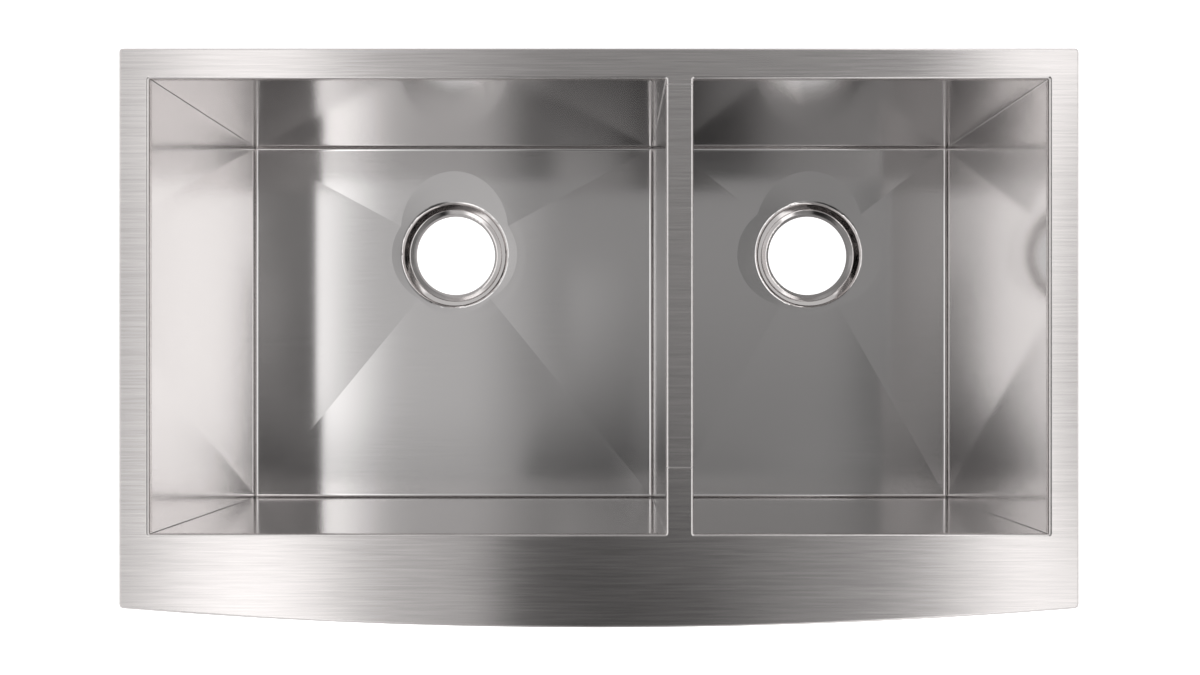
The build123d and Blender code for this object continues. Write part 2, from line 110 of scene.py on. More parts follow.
class NodeSheet:
    """Adds and joins the nodes of one shader tree."""

    def __init__(self, tree: bpy.types.NodeTree) -> None:
        """Starts an empty sheet in the node tree that is wired up."""
        self.tree = tree
        self.tree.nodes.clear()

    def add(
        self, kind: str, inputs: dict[str | int, Input] | None = None, **settings: object
    ) -> bpy.types.Node:
        """Adds a node.

        Args:
            kind: Blender's name of the node's type.
            inputs: Values or sockets by the input's name or number.
            **settings: The node's own properties.

        Returns:
            The new node.
        """
        node = self.tree.nodes.new(kind)
        for name, value in settings.items():
            setattr(node, name, value)
        for key, value in (inputs or {}).items():
            if isinstance(value, Socket):
                self.tree.links.new(value, node.inputs[key])
            else:
                node.inputs[key].default_value = value
        return node

    def math(self, operation: str, *values: Input) -> Socket:
        """Returns the result of a Math node's operation on one to three numbers."""
        return self.add("ShaderNodeMath", dict(enumerate(values)), operation=operation).outputs[0]

    def vector(self, operation: str, *values: Input) -> Socket:
        """Returns the result of a Vector Math node's operation, a number for a distance."""
        node = self.add("ShaderNodeVectorMath", dict(enumerate(values)), operation=operation)
        return node.outputs[1 if operation == "DISTANCE" else 0]

    def times(self, first: Input, second: Input, plus: Input = 0.0) -> Socket:
        """Returns the product of two numbers plus a third."""
        return self.math("MULTIPLY_ADD", first, second, plus)

    def join(self, x: Input, y: Input, z: Input) -> Socket:
        """Returns a vector made of three numbers."""
        return self.add("ShaderNodeCombineXYZ", {0: x, 1: y, 2: z}).outputs[0]

    def split(self, vector: Socket) -> Sequence[Socket]:
        """Returns the three numbers of a vector."""
        return self.add("ShaderNodeSeparateXYZ", {0: vector}).outputs

    def step(self, value: Input, fade: Fade) -> Socket:
        """Returns the level of a fade at a value, with a soft start and stop."""
        inputs = {0: value, 1: fade.low, 2: fade.high, 3: fade.start, 4: fade.stop}
        return self.add("ShaderNodeMapRange", inputs, interpolation_type="SMOOTHSTEP").outputs[0]

    def window(self, value: Input, band: Band) -> Socket:
        """Adds a band with soft edges.

        Args:
            value: What is looked at.
            band: Where the band is.

        Returns:
            The band's socket, 1 inside and 0 outside.
        """
        rise = self.step(value, Fade(band.low - band.edge, band.low + band.edge))
        fall = self.step(value, Fade(band.high - band.edge, band.high + band.edge, 1.0, 0.0))
        return self.times(rise, fall)

    def blend(self, first: Input, share: float, second: Input) -> Socket:
        """Returns two patterns laid over each other, the first with the given share."""
        return self.times(first, share, self.times(second, 1 - share))

    def noise(self, scale: Place, detail: float = 2.0, place: Socket | None = None) -> Socket:
        """Adds noise whose grains may be longer one way than another.

        Args:
            scale: Grains per metre along each axis.
            detail: Octaves of finer noise.
            place: Coordinates of the pattern, if they aren't those of the part.

        Returns:
            The noise's socket, from 0 to 1 and about 0.5 on average.
        """
        start = self.place if place is None else place
        stretched = self.vector("MULTIPLY", start, tuple(scale))
        inputs = {"Vector": stretched, "Scale": 1.0, "Detail": detail}
        return self.add("ShaderNodeTexNoise", inputs).outputs[0]

    def cells(self, scale: float) -> Socket:
        """Returns the distance to the nearest of many scattered points, so many to the metre."""
        return self.add("ShaderNodeTexVoronoi", {"Vector": self.place, "Scale": scale}).outputs["Distance"]

    def tone(self, factor: Input, dark: Colour, light: Colour) -> Socket:
        """Adds a colour between a dark and a light one.

        Args:
            factor: From 0 for the dark colour to 1 for the light one.
            dark: Red, green and blue at 0.
            light: Red, green and blue at 1.

        Returns:
            The colour's socket.
        """
        node = self.add("ShaderNodeMix", data_type="RGBA")
        sockets = {socket.identifier: socket for socket in node.inputs}
        sockets["A_Color"].default_value = (*dark, 1.0)
        sockets["B_Color"].default_value = (*light, 1.0)
        self.tree.links.new(factor, sockets["Factor_Float"])
        return next(s for s in node.outputs if s.identifier == "Result_Color")

    def relief(self, height: Input) -> Socket:
        """Returns the normals of a relief of the given height in metres."""
        return self.add("ShaderNodeBump", {"Strength": 1.0, "Distance": 1.0, "Height": height}).outputs[0]

    @cached_property
    def place(self) -> Socket:
        """Coordinates in the frame of the part."""
        return self.add("ShaderNodeTexCoord").outputs["Object"]

    def cover(self, inputs: dict[str | int, Input]) -> None:
        """Covers the surface with a Principled shader of these inputs."""
        shader = self.add("ShaderNodeBsdfPrincipled", inputs)
        self.add("ShaderNodeOutputMaterial", {"Surface": shader.outputs[0]})

    def cover_partly(self, share: Input, shader: bpy.types.Node) -> None:
        """Covers the surface with a shader where the share is 1, and leaves it clear where it is 0."""
        clear = self.add("ShaderNodeBsdfTransparent")
        mix = self.add("ShaderNodeMixShader", {0: share, 1: clear.outputs[0], 2: shader.outputs[0]})
        self.add("ShaderNodeOutputMaterial", {"Surface": mix.outputs[0]})


def new_material(name: str) -> tuple[Material, NodeSheet]:
    """Starts a material.

    Args:
        name: Its name.

    Returns:
        The material and the empty sheet of its nodes.
    """
    material = bpy.data.materials.new(name)
    material.use_nodes = True
    return material, NodeSheet(material.node_tree)


# ------------------------ finishes


@dataclass(frozen=True)
class BrushedSteel:
    """Stainless sheet that was brushed flat and then folded, so the grain turns up with its walls."""

    colour: Colour = (0.636, 0.608, 0.600)
    contrast: float = 0.27
    roughness: float = 0.25
    roughness_spread: float = 0.05
    anisotropy: float = 0.8
    wall: Fade = Fade(0.68, 0.72)
    grain_length: float = 0.05
    grain_width: float = 0.0014
    grain_depth: float = 0.4e-6
    grain_detail: float = 3.0
    cloud_scale: float = 5.0
    cloud_share: float = 0.3
    cloud_detail: float = 3.0
    wave_depth: float = 0.0
    wave_length: float = 0.16
    wave_stretch: float = 0.6
    seams: tuple[float, ...] = ()
    seam_line: Fade = Fade(0.0003, 0.0007, 1.0, 0.0)
    seam_span: Band = Band(0.0587, 0.0823, 0.0002)
    seam_roughness: float = 0.2
    ripple_at: Span | None = None
    ripple_radius: float = 0.077
    ripple_edge: float = 0.006
    ripple_depth: float = 0.00004
    ripple_floor: Fade = Fade(0.016, 0.020, 1.0, 0.0)

    def streaks(self, sheet: NodeSheet, side: Input, front: Input) -> Socket:
        """Adds the brushing's streaks, which run along X on the flat and upright on the side walls.

        Args:
            sheet: The material's nodes.
            side: 1 where the sheet stands and faces left or right, else 0.
            front: 1 where it stands and faces the front or back, else 0, so that a bow keeps its streaks.

        Returns:
            The streaks' socket, from 0 to 1.
        """
        fine, long = 1 / self.grain_width, 1 / self.grain_length
        keep_depth = sheet.join(1.0, sheet.math("SUBTRACT", 1.0, front), 1.0)
        unbowed = sheet.vector("MULTIPLY", sheet.place, keep_depth)
        flat = sheet.noise((long, fine, fine), self.grain_detail, unbowed)
        upright = sheet.noise((fine, fine, long), self.grain_detail)
        return sheet.times(upright, side, sheet.times(flat, sheet.math("SUBTRACT", 1.0, side)))

    def seam_lines(self, sheet: NodeSheet) -> Socket:
        """Adds the ground weld seams across the divider.

        Args:
            sheet: The material's nodes.

        Returns:
            The lines' socket, 1 in a line.
        """
        x, y, _ = sheet.split(sheet.place)
        line: Input = 0.0
        for seam in self.seams:
            away = sheet.math("ABSOLUTE", sheet.math("SUBTRACT", y, seam))
            line = sheet.math("MAXIMUM", line, sheet.step(away, self.seam_line))
        return sheet.times(line, sheet.window(x, self.seam_span))

    def height(self, sheet: NodeSheet, streaks: Socket) -> Socket:
        """Adds up the streaks, the faint waves of the sheet and the ring pressed round the drain.

        Args:
            sheet: The material's nodes.
            streaks: The brushing's streaks.

        Returns:
            The height's socket, in metres.
        """
        height = sheet.times(streaks, self.grain_depth)
        if self.wave_depth:
            along = 1 / self.wave_length
            across = self.wave_stretch * along
            wave = sheet.noise((along, across, across), detail=1.0)
            height = sheet.times(wave, self.wave_depth, height)
        if self.ripple_at:
            flat = sheet.vector("MULTIPLY", sheet.place, (1.0, 1.0, 0.0))
            away = sheet.vector("DISTANCE", flat, (*self.ripple_at, 0.0))
            ring = sheet.step(away, Fade(self.ripple_radius - self.ripple_edge,
                                         self.ripple_radius + self.ripple_edge))
            on_floor = sheet.step(sheet.split(sheet.place)[2], self.ripple_floor)
            height = sheet.times(sheet.times(ring, on_floor), self.ripple_depth, height)
        return height

    def material(self, name: str) -> Material:
        """Builds the finish.

        Args:
            name: The material's name.

        Returns:
            The material.
        """
        material, sheet = new_material(name)
        normal = sheet.add("ShaderNodeNewGeometry").outputs["Normal"]
        x, y, _ = sheet.split(normal)
        side, front = (sheet.step(sheet.math("ABSOLUTE", part), self.wall) for part in (x, y))
        streaks = self.streaks(sheet, side, front)
        grain = sheet.join(sheet.math("SUBTRACT", 1.0, side), 0.0, side)
        clouds = sheet.noise((self.cloud_scale,) * 3, self.cloud_detail)
        dark = tuple(part * (1 - self.contrast) for part in self.colour)
        light = tuple(part * (1 + self.contrast) for part in self.colour)
        smoothest = self.roughness - self.roughness_spread / 2
        rough = sheet.times(streaks, self.roughness_spread, smoothest)
        if self.seams:
            rough = sheet.times(self.seam_lines(sheet), self.seam_roughness, rough)
        sheet.cover({
            "Base Color": sheet.tone(sheet.blend(clouds, self.cloud_share, streaks), dark, light),
            "Metallic": 1.0, "Roughness": rough, "Anisotropic": self.anisotropy,
            "Tangent": sheet.vector("CROSS_PRODUCT", normal, grain),
            "Normal": sheet.relief(self.height(sheet, streaks))})
        return material


@dataclass(frozen=True)
class GrainedFinish:
    """Finish with a fine grain in its relief and its gloss, and soft clouds in its colour."""

    dark: Colour
    light: Colour
    roughness: float
    grain_scale: Place
    grain_depth: float
    cloud_scale: float
    roughness_spread: float = 0.0
    metallic: float = 0.0
    specular: float = 0.5
    pattern: Pattern = Pattern.NOISE
    grain_detail: float = 2.0
    grain_share: float = 0.0
    cloud_detail: float = 3.0
    cloud_step: Fade | None = None
    cloudy_gloss: bool = False

    def material(self, name: str) -> Material:
        """Builds the finish.

        Args:
            name: The material's name.

        Returns:
            The material.
        """
        material, sheet = new_material(name)
        if self.pattern is Pattern.CELLS:
            grain = sheet.cells(self.grain_scale[0])
        else:
            grain = sheet.noise(self.grain_scale, self.grain_detail)
        clouds = sheet.noise((self.cloud_scale,) * 3, self.cloud_detail)
        if self.cloud_step:
            clouds = sheet.step(clouds, self.cloud_step)
        mottle = sheet.blend(grain, self.grain_share, clouds)
        gloss = mottle if self.cloudy_gloss else grain
        sheet.cover({
            "Base Color": sheet.tone(mottle, self.dark, self.light), "Metallic": self.metallic,
            "Roughness": sheet.times(gloss, self.roughness_spread, self.roughness),
            "Specular IOR Level": self.specular,
            "Normal": sheet.relief(sheet.times(grain, self.grain_depth))})
        return material


# Unbrushed folded sheet, dull and faintly cloudy from the rolling mill.
MILL_STEEL = GrainedFinish(
    dark=(0.42, 0.42, 0.42), light=(0.56, 0.56, 0.56), metallic=1.0, roughness=0.28, roughness_spread=0.2,
    cloudy_gloss=True, grain_scale=(3.0, 420.0, 420.0), grain_depth=2.0e-6, grain_share=0.35,
    cloud_scale=22.0, cloud_detail=4.0)

# Bright zinc plating with a faint passivation tint and small spangles.
ZINC_PLATE = GrainedFinish(
    dark=(0.60, 0.62, 0.68), light=(0.74, 0.72, 0.66), metallic=1.0, roughness=0.24, roughness_spread=0.18,
    pattern=Pattern.CELLS, grain_scale=(900.0,) * 3, grain_depth=6.0e-6, cloud_scale=60.0)

# Black sound-deadening rubber, matt, with dust in its fine grain.
MOULDED_RUBBER = GrainedFinish(
    dark=(0.014, 0.014, 0.015), light=(0.045, 0.044, 0.042), specular=0.35, roughness=0.62,
    roughness_spread=0.2, grain_scale=(1400.0,) * 3, grain_depth=1.2e-5, cloud_scale=30.0,
    cloud_detail=5.0, cloud_step=Fade(0.35, 0.75))

# Dark closed-cell foam of a self-adhesive sealing strip.
CELL_FOAM = GrainedFinish(
    dark=(0.035, 0.036, 0.038), light=(0.085, 0.086, 0.088), specular=0.2, roughness=0.95,
    pattern=Pattern.CELLS, grain_scale=(1500.0,) * 3, grain_depth=1.4e-4, grain_share=0.5, cloud_scale=80.0)

# Grey sound-deadening spray on the outside of the bowls, with its orange-peel pimples.
SPRAYED_UNDERCOAT = GrainedFinish(
    dark=(0.155, 0.157, 0.160), light=(0.270, 0.272, 0.275), specular=0.3, roughness=0.82,
    grain_scale=(420.0,) * 3, grain_depth=2.5e-4, grain_detail=4.0, grain_share=0.5, cloud_scale=7.0)

# Rippled weld with a faint straw tint where the heat was.
WELD_METAL = GrainedFinish(
    dark=(0.46, 0.44, 0.43), light=(0.62, 0.58, 0.50), metallic=1.0, roughness=0.28, roughness_spread=0.16,
    grain_scale=(650.0,) * 3, grain_depth=8.0e-5, grain_detail=1.0, cloud_scale=45.0, cloud_detail=2.0)


# ------------------------ mesh work


def deselect() -> None:
    """Leaves no object selected."""
    bpy.ops.object.select_all(action="DESELECT")


def middle_and_way(start: Vector, stop: Vector) -> tuple[Vector, Vector]:
    """Returns the middle of an edge and its direction."""
    return (start + stop) / 2, (stop - start).normalized()


class Bench:
    """Shapes one piece with Blender's mesh tools."""

    def __init__(self, name: str) -> None:
        """Takes the primitive that was just added and freezes its place.

        Args:
            name: The piece's name.
        """
        self.item: Piece = bpy.context.object
        self.item.name = name
        self.item.data.name = name
        self.freeze()

    @classmethod
    def cube(cls, name: str, corner: Place, opposite: Place) -> "Bench":
        """Adds a block.

        Args:
            name: The piece's name.
            corner: One of its corners.
            opposite: The corner farthest from it.

        Returns:
            The piece on the bench.
        """
        deselect()
        middle = (Vector(corner) + Vector(opposite)) / 2
        size = [abs(side) for side in Vector(opposite) - Vector(corner)]
        bpy.ops.mesh.primitive_cube_add(size=1, location=middle, scale=size)
        return cls(name)

    def choose(self) -> None:
        """Makes the piece the only selected object."""
        deselect()
        self.item.select_set(True)
        bpy.context.view_layer.objects.active = self.item

    def freeze(self) -> None:
        """Puts the piece's place, turn and scale into its mesh."""
        self.choose()
        bpy.ops.object.transform_apply(location=True, rotation=True, scale=True)

    @contextmanager
    def edit(self) -> Iterator[None]:
        """Opens the mesh with nothing selected, and closes it afterwards."""
        self.choose()
        bpy.ops.object.mode_set(mode="EDIT")
        bpy.ops.mesh.select_all(action="DESELECT")
        yield
        bpy.ops.object.mode_set(mode="OBJECT")

    def pick_all(self) -> None:
        """Selects the whole of the open mesh."""
        bpy.ops.mesh.select_all(action="SELECT")

    def pick(self, kind: str, test: Callable[[Any], bool]) -> None:
        """Selects only the parts of the open mesh that pass a test.

        Args:
            kind: "VERT", "EDGE" or "FACE".
            test: Says yes or no to a part.
        """
        bpy.ops.mesh.select_all(action="DESELECT")
        bpy.ops.mesh.select_mode(type=kind)
        mesh = bmesh.from_edit_mesh(self.item.data)
        for part in {"VERT": mesh.verts, "EDGE": mesh.edges, "FACE": mesh.faces}[kind]:
            part.select_set(test(part))
        bmesh.update_edit_mesh(self.item.data)

    def pick_faces(self, test: Callable[[Vector, Vector], bool]) -> None:
        """Selects only the faces whose middle and normal pass a test."""
        self.pick("FACE", lambda face: test(face.calc_center_median(), face.normal))

    def pick_edges(self, test: Callable[[Vector, Vector], bool]) -> None:
        """Selects only the edges whose middle and direction pass a test."""
        self.pick("EDGE", lambda edge: test(*middle_and_way(*(vertex.co for vertex in edge.verts))))

    def pull(self, way: Place) -> None:
        """Extrudes the selected faces by a vector."""
        bpy.ops.mesh.extrude_region_move(TRANSFORM_OT_translate={"value": tuple(way)})

    def smooth(self, angle: float = 35.0) -> Piece:
        """Turns the faces outwards and smooths the shading.

        Args:
            angle: Edges sharper than so many degrees stay sharp.

        Returns:
            The finished piece.
        """
        with self.edit():
            self.pick_all()
            bpy.ops.mesh.remove_doubles(threshold=MERGED)
            bpy.ops.mesh.normals_make_consistent(inside=False)
        self.choose()
        bpy.ops.object.shade_smooth_by_angle(angle=math.radians(angle))
        return self.item

    def copy_to(self, name: str, shift: Place) -> Piece:
        """Copies the piece with its own mesh.

        Args:
            name: The copy's name.
            shift: How far the copy lies from the piece.

        Returns:
            The copy.
        """
        self.choose()
        bpy.ops.object.duplicate(linked=False)
        bpy.ops.transform.translate(value=tuple(shift))
        return Bench(name).item

    def stand(self, facing: Facing, origin: Place) -> None:
        """Turns a piece that was made lying, with its face up, and carries it to its place.

        Args:
            facing: Where its face looks.
            origin: Where its own origin goes.
        """
        out = Vector(facing.value)
        up = Vector((0, 1, 0)) if abs(out.z) > ALIGNED else Vector((0, 0, 1))
        turn = Matrix((up.cross(out), up, out)).transposed().to_4x4()
        self.item.matrix_world = Matrix.Translation(Vector(origin)) @ turn
        self.freeze()


def join_pieces(name: str, pieces: Sequence[Piece]) -> Piece:
    """Makes one mesh of several.

    Args:
        name: The joined piece's name.
        pieces: The meshes, of which the first takes in the others.

    Returns:
        The joined piece.
    """
    deselect()
    for piece in pieces:
        piece.select_set(True)
    bpy.context.view_layer.objects.active = pieces[0]
    bpy.ops.object.join()
    pieces[0].name = name
    pieces[0].data.name = name
    return pieces[0]


def dress(piece: Piece, *finishes: Material) -> None:
    """Gives a piece its finishes, one for each material slot."""
    piece.data.materials.clear()
    for finish in finishes:
        piece.data.materials.append(finish)


def fix_to_sink(piece: Piece, finish: Material) -> Piece:
    """Dresses a new piece and makes it ride on the sink.

    Args:
        piece: The piece.
        finish: Its finish.

    Returns:
        The piece.
    """
    dress(piece, finish)
    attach(piece, "sink")
    log.info("%s: %d faces", piece.name, len(piece.data.polygons))
    return piece


# ------------------------ sub-assemblies


@dataclass
class Deck:
    """Deck with its rolled collars, the welded-in divider cap and the apron that hangs from it."""

    seams: Span = (0.221, -0.113)

    def finish(self) -> None:
        """Brushes the deck and apron, and marks the ground seams of the divider cap."""
        sheet = BrushedSteel(seams=self.seams).material("brushed_deck")
        for node in ("deck_frame", "divider_bridge", "apron_panel"):
            dress(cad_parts[node], sheet)
            log.info("%s: brushed", node)


@dataclass
class Bowl:
    """One folded bowl: its finishes, the welds in its corners and the bead under its collar."""

    name: str
    ripple: float = 0.0
    sheet: float = 0.0012
    corner_radius: float = 0.0009
    recess_radius: float = 0.0605
    recess_top: float = 0.0125
    weld_bottom: float = 0.0148
    weld_top: float = 0.2500
    weld_sunk: float = 0.0002
    weld_hollow: float = 0.086
    bead_height: float = 0.2478
    bead_radius: float = 0.0009
    bead_proud: float = 0.3
    bead_corner: float = 0.0035

    def finish(self) -> Material:
        """Gives the wet side its satin, the drain its polish and the dry side its undercoat, face by face.

        Returns:
            The satin of the wet side.
        """
        satin = BrushedSteel(
            colour=(0.692, 0.673, 0.668), roughness=0.13, anisotropy=0.6, contrast=0.03, grain_depth=0.15e-6,
            wave_depth=0.0003, ripple_at=DRAINS[self.name] if self.ripple else None,
            ripple_depth=self.ripple)
        polish = BrushedSteel(roughness=0.08, anisotropy=0.0, contrast=0.02, grain_depth=0.1e-6)
        wet = satin.material(f"{self.name}_satin")
        dry = SPRAYED_UNDERCOAT.material(f"{self.name}_undercoat")
        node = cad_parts[self.name]
        dress(node, wet, dry, polish.material(f"{self.name}_drain_polish"))
        low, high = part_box(self.name)
        middle = (low + high) / 2
        drain = Vector((*DRAINS[self.name], 0))
        for face in node.data.polygons:
            away = (face.center - drain).to_2d().length
            outwards = face.normal.dot(face.center - middle) > 0
            in_recess = away < self.recess_radius and face.center.z < self.recess_top
            face.material_index = 2 if in_recess else int(outwards)
        log.info("%s: satin inside, polished drain, undercoat outside", self.name)
        return wet

    def weld_corners(self, metal: Material) -> None:
        """Fills the four upright corners with a ground weld, hollow towards the bowl.

        Args:
            metal: The weld's finish.
        """
        low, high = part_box(self.name)
        sunk = self.weld_sunk
        welds = []
        for x, way_x in ((low.x + self.sheet, 1), (high.x - self.sheet, -1)):
            for y, way_y in ((low.y + self.sheet, 1), (high.y - self.sheet, -1)):
                near = Vector((x - way_x * sunk, y - way_y * sunk, self.weld_bottom))
                far = Vector((x + way_x * self.corner_radius, y + way_y * self.corner_radius, self.weld_top))
                bench = Bench.cube("weld", near, far)
                with bench.edit():
                    bench.pick_edges(lambda middle, way: abs(way.z) > ALIGNED
                                     and (middle - far).to_2d().length < TOUCHING)
                    bpy.ops.mesh.bevel(
                        offset=self.corner_radius, offset_type="OFFSET", segments=8, profile=self.weld_hollow)
                welds.append(bench.smooth(angle=60))
        fix_to_sink(join_pieces(f"{self.name}_corner_welds", welds), metal)

    def run_bead(self, metal: Material) -> None:
        """Runs the weld bead round the bowl, just under the deck.

        Args:
            metal: The weld's finish.
        """
        low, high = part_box(self.name)
        grow = self.bead_proud * self.bead_radius
        middle = ((low.x + high.x) / 2, (low.y + high.y) / 2, self.bead_height)
        deselect()
        bpy.ops.mesh.primitive_plane_add(size=1, location=middle)
        bpy.context.object.scale = (high.x - low.x + 2 * grow, high.y - low.y + 2 * grow, 1)
        bench = Bench(f"{self.name}_collar_bead")
        with bench.edit():
            bench.pick_all()
            bpy.ops.mesh.bevel(offset=self.bead_corner, segments=5, affect="VERTICES")
            bench.pick_all()
            bpy.ops.mesh.delete(type="ONLY_FACE")
        bpy.ops.object.convert(target="CURVE")
        curve = bpy.context.object.data
        curve.bevel_depth = self.bead_radius
        curve.bevel_resolution = 3
        bpy.ops.object.convert(target="MESH")
        bench.item = bpy.context.object
        fix_to_sink(bench.smooth(angle=80), metal)

    def build(self, metal: Material) -> None:
        """Finishes the bowl and adds its welds, ground to the satin inside and rough under the deck."""
        self.weld_corners(self.finish())
        self.run_bead(metal)


@dataclass
class SoundPads:
    """Moulded rubber sheets with raised squares, glued to the bowls and to the apron."""

    thickness: float = 0.003
    relief: float = 0.0008
    cell: float = 0.0235
    joint: float = 0.0022
    corner: float = 0.006
    glue: float = 0.00003
    bowl_sheet: float = 0.0012
    floor_edge: float = 0.014
    floor_fall: float = 0.004
    apron_radius: float = 5.17206
    apron_middle: float = -0.253
    apron_sheet: float = 0.0016
    apron_bottom: float = 0.048
    apron_top: float = 0.198
    apron_bays: tuple[Span, ...] = (
        (-0.3785, -0.2995), (-0.2555, -0.0140), (0.0300, 0.2715), (0.3155, 0.3785))

    def mould(self, name: str, width: float, height: float) -> Bench:
        """Moulds one sheet lying on the origin, its glued face down.

        Args:
            name: The piece's name.
            width: Its size along X.
            height: Its size along Y.

        Returns:
            The sheet on the bench.
        """
        columns, rows = (max(2, 2 * round(size / self.cell / 2)) for size in (width, height))
        deselect()
        bpy.ops.mesh.primitive_grid_add(x_subdivisions=columns, y_subdivisions=rows, size=1)
        bpy.context.object.scale = (width, height, 1)
        bench = Bench(name)
        back = self.thickness - self.relief
        with bench.edit():
            bench.pick_all()
            bench.pull((0, 0, back))
        with bench.edit():
            bench.pick_edges(lambda middle, way: abs(way.z) > ALIGNED
                             and width / 2 - abs(middle.x) < TOUCHING
                             and height / 2 - abs(middle.y) < TOUCHING)
            bpy.ops.mesh.bevel(offset=self.corner, segments=4)
        with bench.edit():
            bench.pick_faces(lambda middle, normal: back - middle.z < TOUCHING and abs(normal.z) > ALIGNED)
            bpy.ops.mesh.inset(use_individual=True, thickness=self.joint / 2, depth=0)
            bpy.ops.mesh.inset(use_individual=True, thickness=self.relief / 2, depth=self.relief)
        return bench

    def on_wall(self, node: str, facing: Facing) -> None:
        """Makes the sheet that takes the place of a node on an upright wall.

        Args:
            node: The node.
            facing: Where the sheet's moulded face looks.
        """
        low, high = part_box(node)
        size = high - low
        out = Vector(facing.value)
        bench = self.mould(f"{node}_moulded", max(size.x, size.y), size.z)
        bench.stand(facing, (low + high) / 2 - out * (self.thickness / 2 - self.glue))
        self.set_in_place(bench.smooth(), node)

    def under_floor(self, node: str, drain: Span, bowl: str) -> None:
        """Makes the sheet under a bowl's floor, which falls towards the drain.

        Args:
            node: The node whose place the sheet takes.
            drain: Middle of the drain.
            bowl: The bowl's node.
        """
        low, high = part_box(node)
        bowl_low, bowl_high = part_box(bowl)
        bench = self.mould(f"{node}_moulded", high.x - low.x, high.y - low.y)
        bench.stand(Facing.DOWN, ((low.x + high.x) / 2, (low.y + high.y) / 2, 0))
        far_x = (bowl_high.x - drain[0]) - self.bowl_sheet
        far_y = (drain[1] - bowl_low.y) - self.bowl_sheet
        for vertex in bench.item.data.vertices:
            rise = max(abs(vertex.co.x - drain[0]) / far_x, (drain[1] - vertex.co.y) / far_y)
            vertex.co.z += self.floor_edge - self.floor_fall * (1 - rise) - self.bowl_sheet - self.glue
        self.set_in_place(bench.smooth(), node)

    def on_apron(self, node: str) -> None:
        """Makes the four sheets that follow the bow of the apron's inner face.

        Args:
            node: The node whose place they take, joined to one piece.
        """
        middle_z = (self.apron_bottom + self.apron_top) / 2
        radius = self.apron_radius - self.apron_sheet
        centre = self.apron_middle + self.apron_radius
        sheets = []
        for left, right in self.apron_bays:
            bench = self.mould("sheet", right - left, self.apron_top - self.apron_bottom)
            bench.stand(Facing.BACK, ((left + right) / 2, self.glue, middle_z))
            for vertex in bench.item.data.vertices:
                vertex.co.y += centre - math.sqrt(radius**2 - vertex.co.x**2)
            sheets.append(bench.smooth())
        self.set_in_place(join_pieces(f"{node}_moulded", sheets), node)

    def set_in_place(self, piece: Piece, node: str) -> None:
        """Lets a finished sheet stand for its node."""
        fix_to_sink(piece, self.rubber)
        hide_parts(node)

    def build(self) -> None:
        """Makes every sheet."""
        self.rubber = MOULDED_RUBBER.material("sound_rubber")
        self.on_wall("large_bowl_left_pad", Facing.LEFT)
        self.on_wall("large_bowl_back_pad", Facing.BACK)
        self.on_wall("small_bowl_back_pad", Facing.BACK)
        self.on_wall("small_bowl_right_pad", Facing.RIGHT)
        for bowl, drain in DRAINS.items():
            self.under_floor(f"{bowl}_floor_pad", drain, bowl)
        self.on_apron("apron_sound_pads")


@dataclass
class RimSeal:
    """Foam strip under the overhang of the deck, mitred at the two back corners."""

    node: str = "rim_seal"
    width: float = 0.0068
    ease: float = 0.0012
    press: float = 0.00035
    press_waves: Span = (61.0, 23.0)
    stations: int = 60

    def build(self) -> None:
        """Makes the strip, which stands for its node and is pressed a little unevenly from below."""
        low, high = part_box(self.node)
        inner_left, inner_right = low.x + self.width, high.x - self.width
        inner_back = high.y - self.width
        bench = Bench.cube(f"{self.node}_foam", (low.x, inner_back, low.z), (inner_left, high.y, high.z))
        with bench.edit():
            bench.pick_faces(lambda middle, normal: normal.x > ALIGNED)
            bench.pull((inner_right - inner_left, 0, 0))
            bench.pull((self.width, 0, 0))
            bench.pick_faces(lambda middle, normal: normal.y < -ALIGNED
                             and not inner_left < middle.x < inner_right)
            bench.pull((0, low.y - inner_back, 0))
        with bench.edit():
            bench.pick_edges(lambda middle, way: middle.z < low.z + TOUCHING
                             and self.on_outline(middle, low, high))
            bpy.ops.mesh.bevel(offset=self.ease, segments=3)
            bench.pick_edges(lambda middle, way: abs(way.x) > ALIGNED and inner_left < middle.x < inner_right
                             or abs(way.y) > ALIGNED and low.y < middle.y < inner_back)
            bpy.ops.mesh.subdivide(number_cuts=self.stations)
        short, long = self.press_waves
        for vertex in bench.item.data.vertices:
            if vertex.co.z < low.z + self.width / 2:
                along = vertex.co.x + vertex.co.y
                swell = math.sin(short * along) * math.sin(long * along + 1)
                vertex.co.z += self.press * (1 + swell) / 2
        piece = fix_to_sink(bench.smooth(), CELL_FOAM.material("foam_seal"))
        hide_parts(self.node)

    def on_outline(self, middle: Vector, low: Vector, high: Vector) -> bool:
        """Says whether an edge of the underside is on the strip's outline, not a joint across it."""
        inwards = min(middle.x - low.x, high.x - middle.x, high.y - middle.y)
        return inwards < TOUCHING or abs(inwards - self.width) < TOUCHING


